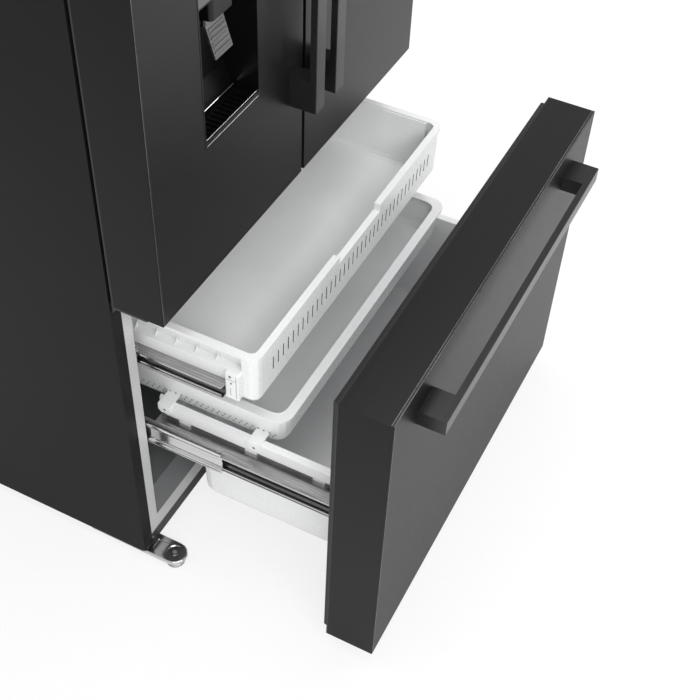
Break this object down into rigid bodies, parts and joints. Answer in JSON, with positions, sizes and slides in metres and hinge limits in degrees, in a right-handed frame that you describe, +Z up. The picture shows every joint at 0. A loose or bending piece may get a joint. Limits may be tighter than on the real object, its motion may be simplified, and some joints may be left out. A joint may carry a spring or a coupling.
{
  "type": "bottom freezer refrigerator",
  "caption": "Free-standing refrigerator with two upper doors, a water dispenser in the left one, and a bottom freezer drawer on telescopic slides with nested trays and a basket.",
  "frame": {"origin": "on the floor, centred between the two sides and between the back of the cabinet and the front of the open freezer drawer's handle", "axes": "+Z up, doors face -Y, +X to the right of someone who faces the doors"},
  "size_m": [0.908, 1.1612, 1.777],
  "materials": {
    "black_steel": "brushed black",
    "cabinet_steel": "satin dark grey",
    "zinc_sheet": "plain",
    "foam": "matte foam",
    "liner_plastic": "satin",
    "white_plastic": "gloss",
    "clear_plastic": "clear",
    "shelf_glass": "clear",
    "dark_plastic": "matte",
    "dark_glass": "gloss",
    "polished_steel": "polished",
    "rail_steel": "satin",
    "seal_rubber": "matte",
    "handle_steel": "brushed black",
    "paddle_steel": "satin",
    "aluminium_fins": "plain",
    "black_enamel": "satin",
    "roller_nylon": "matte"
  },
  "bodies": {
    "cabinet": {"outer_shell": "cabinet_steel", "back_panel": "zinc_sheet", "base_pan": "black_enamel", "insulation_foam": "foam", "fridge_liner": "liner_plastic", "freezer_liner": "liner_plastic", "center_rail": "cabinet_steel", "top_hinges": "black_enamel", "hinge_covers": "dark_plastic", "middle_hinges": "black_enamel", "foot_brackets": "polished_steel", "shelf_frames": "white_plastic", "shelf_panes": "shelf_glass", "crisper_cover": "white_plastic", "air_duct_cover": "white_plastic", "ceiling_light_lens": "white_plastic", "evaporator_cover": "white_plastic", "evaporator_coil": "aluminium_fins", "evaporator_fan_motor": "dark_plastic", "compressor": "black_enamel", "condenser_coil": "aluminium_fins", "condenser_fan_motor": "black_enamel", "drain_pan": "dark_plastic", "machine_cover": "zinc_sheet", "drawer_outer_rails": "rail_steel", "tray_outer_rails": "rail_steel"},
    "left_door": {"left_door_skin": "black_steel", "left_door_liner": "liner_plastic", "left_door_gasket": "seal_rubber", "left_door_handle": "handle_steel", "left_door_bins": "clear_plastic", "dispenser_housing": "dark_plastic", "dispenser_panel": "dark_glass", "drip_grille": "dark_plastic", "water_tank": "clear_plastic"},
    "right_door": {"right_door_skin": "black_steel", "right_door_liner": "liner_plastic", "right_door_gasket": "seal_rubber", "right_door_handle": "handle_steel", "right_door_bins": "clear_plastic"},
    "freezer_drawer": {"drawer_front_skin": "black_steel", "drawer_front_liner": "liner_plastic", "drawer_gasket": "seal_rubber", "drawer_handle": "handle_steel", "lower_basket": "white_plastic", "drawer_inner_rails": "rail_steel"},
    "drawer_mid_slides": {"drawer_middle_rails": "polished_steel"},
    "upper_drawer": {"upper_tray": "white_plastic", "tray_inner_rails": "rail_steel"},
    "tray_mid_slides": {"tray_middle_rails": "polished_steel"},
    "sliding_tray": {"middle_tray": "white_plastic"},
    "crisper_left": {"left_crisper": "clear_plastic"},
    "crisper_right": {"right_crisper": "clear_plastic"},
    "paddle": {"dispenser_paddle": "paddle_steel"},
    "mullion": {"folding_mullion": "dark_plastic"},
    "freezer_fan": {"evaporator_fan": "white_plastic"},
    "machine_fan": {"condenser_fan": "dark_plastic"},
    "rollers": {"rear_rollers": "roller_nylon"},
    "foot_left": {"left_leveling_foot": "zinc_sheet"},
    "foot_right": {"right_leveling_foot": "zinc_sheet"}
  },
  "joints": [
    {"name": "left_door_hinge", "type": "hinge", "parent": "cabinet", "child": "left_door", "pos_m": [-0.438, -0.09165, 1.2325], "axis": [0, 0, -1], "range_deg": [0, 125]},
    {"name": "right_door_hinge", "type": "hinge", "parent": "cabinet", "child": "right_door", "pos_m": [0.438, -0.09165, 1.2325], "axis": [0, 0, 1], "range_deg": [0, 125]},
    {"name": "freezer_drawer_slide", "type": "slide", "parent": "cabinet", "child": "freezer_drawer", "axis": [0, -1, 0], "range_m": [-0.399, 0.04]},
    {"name": "drawer_middle_slide", "type": "slide", "parent": "cabinet", "child": "drawer_mid_slides", "axis": [0, -1, 0], "range_m": [-0.1995, 0.02]},
    {"name": "upper_tray_slide", "type": "slide", "parent": "cabinet", "child": "upper_drawer", "axis": [0, -1, 0], "range_m": [-0.24618, 0.02468]},
    {"name": "tray_middle_slide", "type": "slide", "parent": "cabinet", "child": "tray_mid_slides", "axis": [0, -1, 0], "range_m": [-0.12309, 0.01234]},
    {"name": "middle_tray_slide", "type": "slide", "parent": "freezer_drawer", "child": "sliding_tray", "axis": [0, -1, 0], "range_m": [0, 0.12]},
    {"name": "left_crisper_slide", "type": "slide", "parent": "cabinet", "child": "crisper_left", "axis": [0, -1, 0], "range_m": [0, 0.175]},
    {"name": "right_crisper_slide", "type": "slide", "parent": "cabinet", "child": "crisper_right", "axis": [0, -1, 0], "range_m": [0, 0.175]},
    {"name": "mullion_fold", "type": "hinge", "parent": "left_door", "child": "mullion", "pos_m": [-0.036, -0.01905, 1.2275], "axis": [0, 0, 1], "range_deg": [-90, 0]},
    {"name": "dispenser_paddle_press", "type": "hinge", "parent": "left_door", "child": "paddle", "pos_m": [-0.2275, -0.10165, 1.139], "axis": [1, 0, 0], "range_deg": [0, 12], "stiffness_Nm_per_rad": 0.02, "springref_deg": -20.05},
    {"name": "evaporator_fan_spin", "type": "hinge", "parent": "cabinet", "child": "freezer_fan", "pos_m": [0, 0.49265, 0.5785], "axis": [0, 1, 0], "continuous": true},
    {"name": "condenser_fan_spin", "type": "hinge", "parent": "cabinet", "child": "machine_fan", "pos_m": [-0.00908, 0.47065, 0.14425], "axis": [1, 0, 0], "continuous": true},
    {"name": "rear_rollers_spin", "type": "hinge", "parent": "cabinet", "child": "rollers", "pos_m": [0, 0.51065, 0.018], "axis": [1, 0, 0], "continuous": true},
    {"name": "left_foot_turn", "type": "hinge", "parent": "cabinet", "child": "foot_left", "pos_m": [-0.426, -0.08035, 0.003], "axis": [0, 0, 1], "continuous": true},
    {"name": "right_foot_turn", "type": "hinge", "parent": "cabinet", "child": "foot_right", "pos_m": [0.426, -0.08035, 0.003], "axis": [0, 0, 1], "continuous": true}
  ],
  "couplings": [
    {"joint": "drawer_middle_slide", "follows": "freezer_drawer_slide", "ratio": 0.5},
    {"joint": "upper_tray_slide", "follows": "freezer_drawer_slide", "ratio": 0.617},
    {"joint": "tray_middle_slide", "follows": "freezer_drawer_slide", "ratio": 0.3085},
    {"joint": "left_crisper_slide", "follows": "left_door_hinge", "m_per_rad": 0.08},
    {"joint": "right_crisper_slide", "follows": "right_door_hinge", "m_per_rad": 0.08}
  ]
}
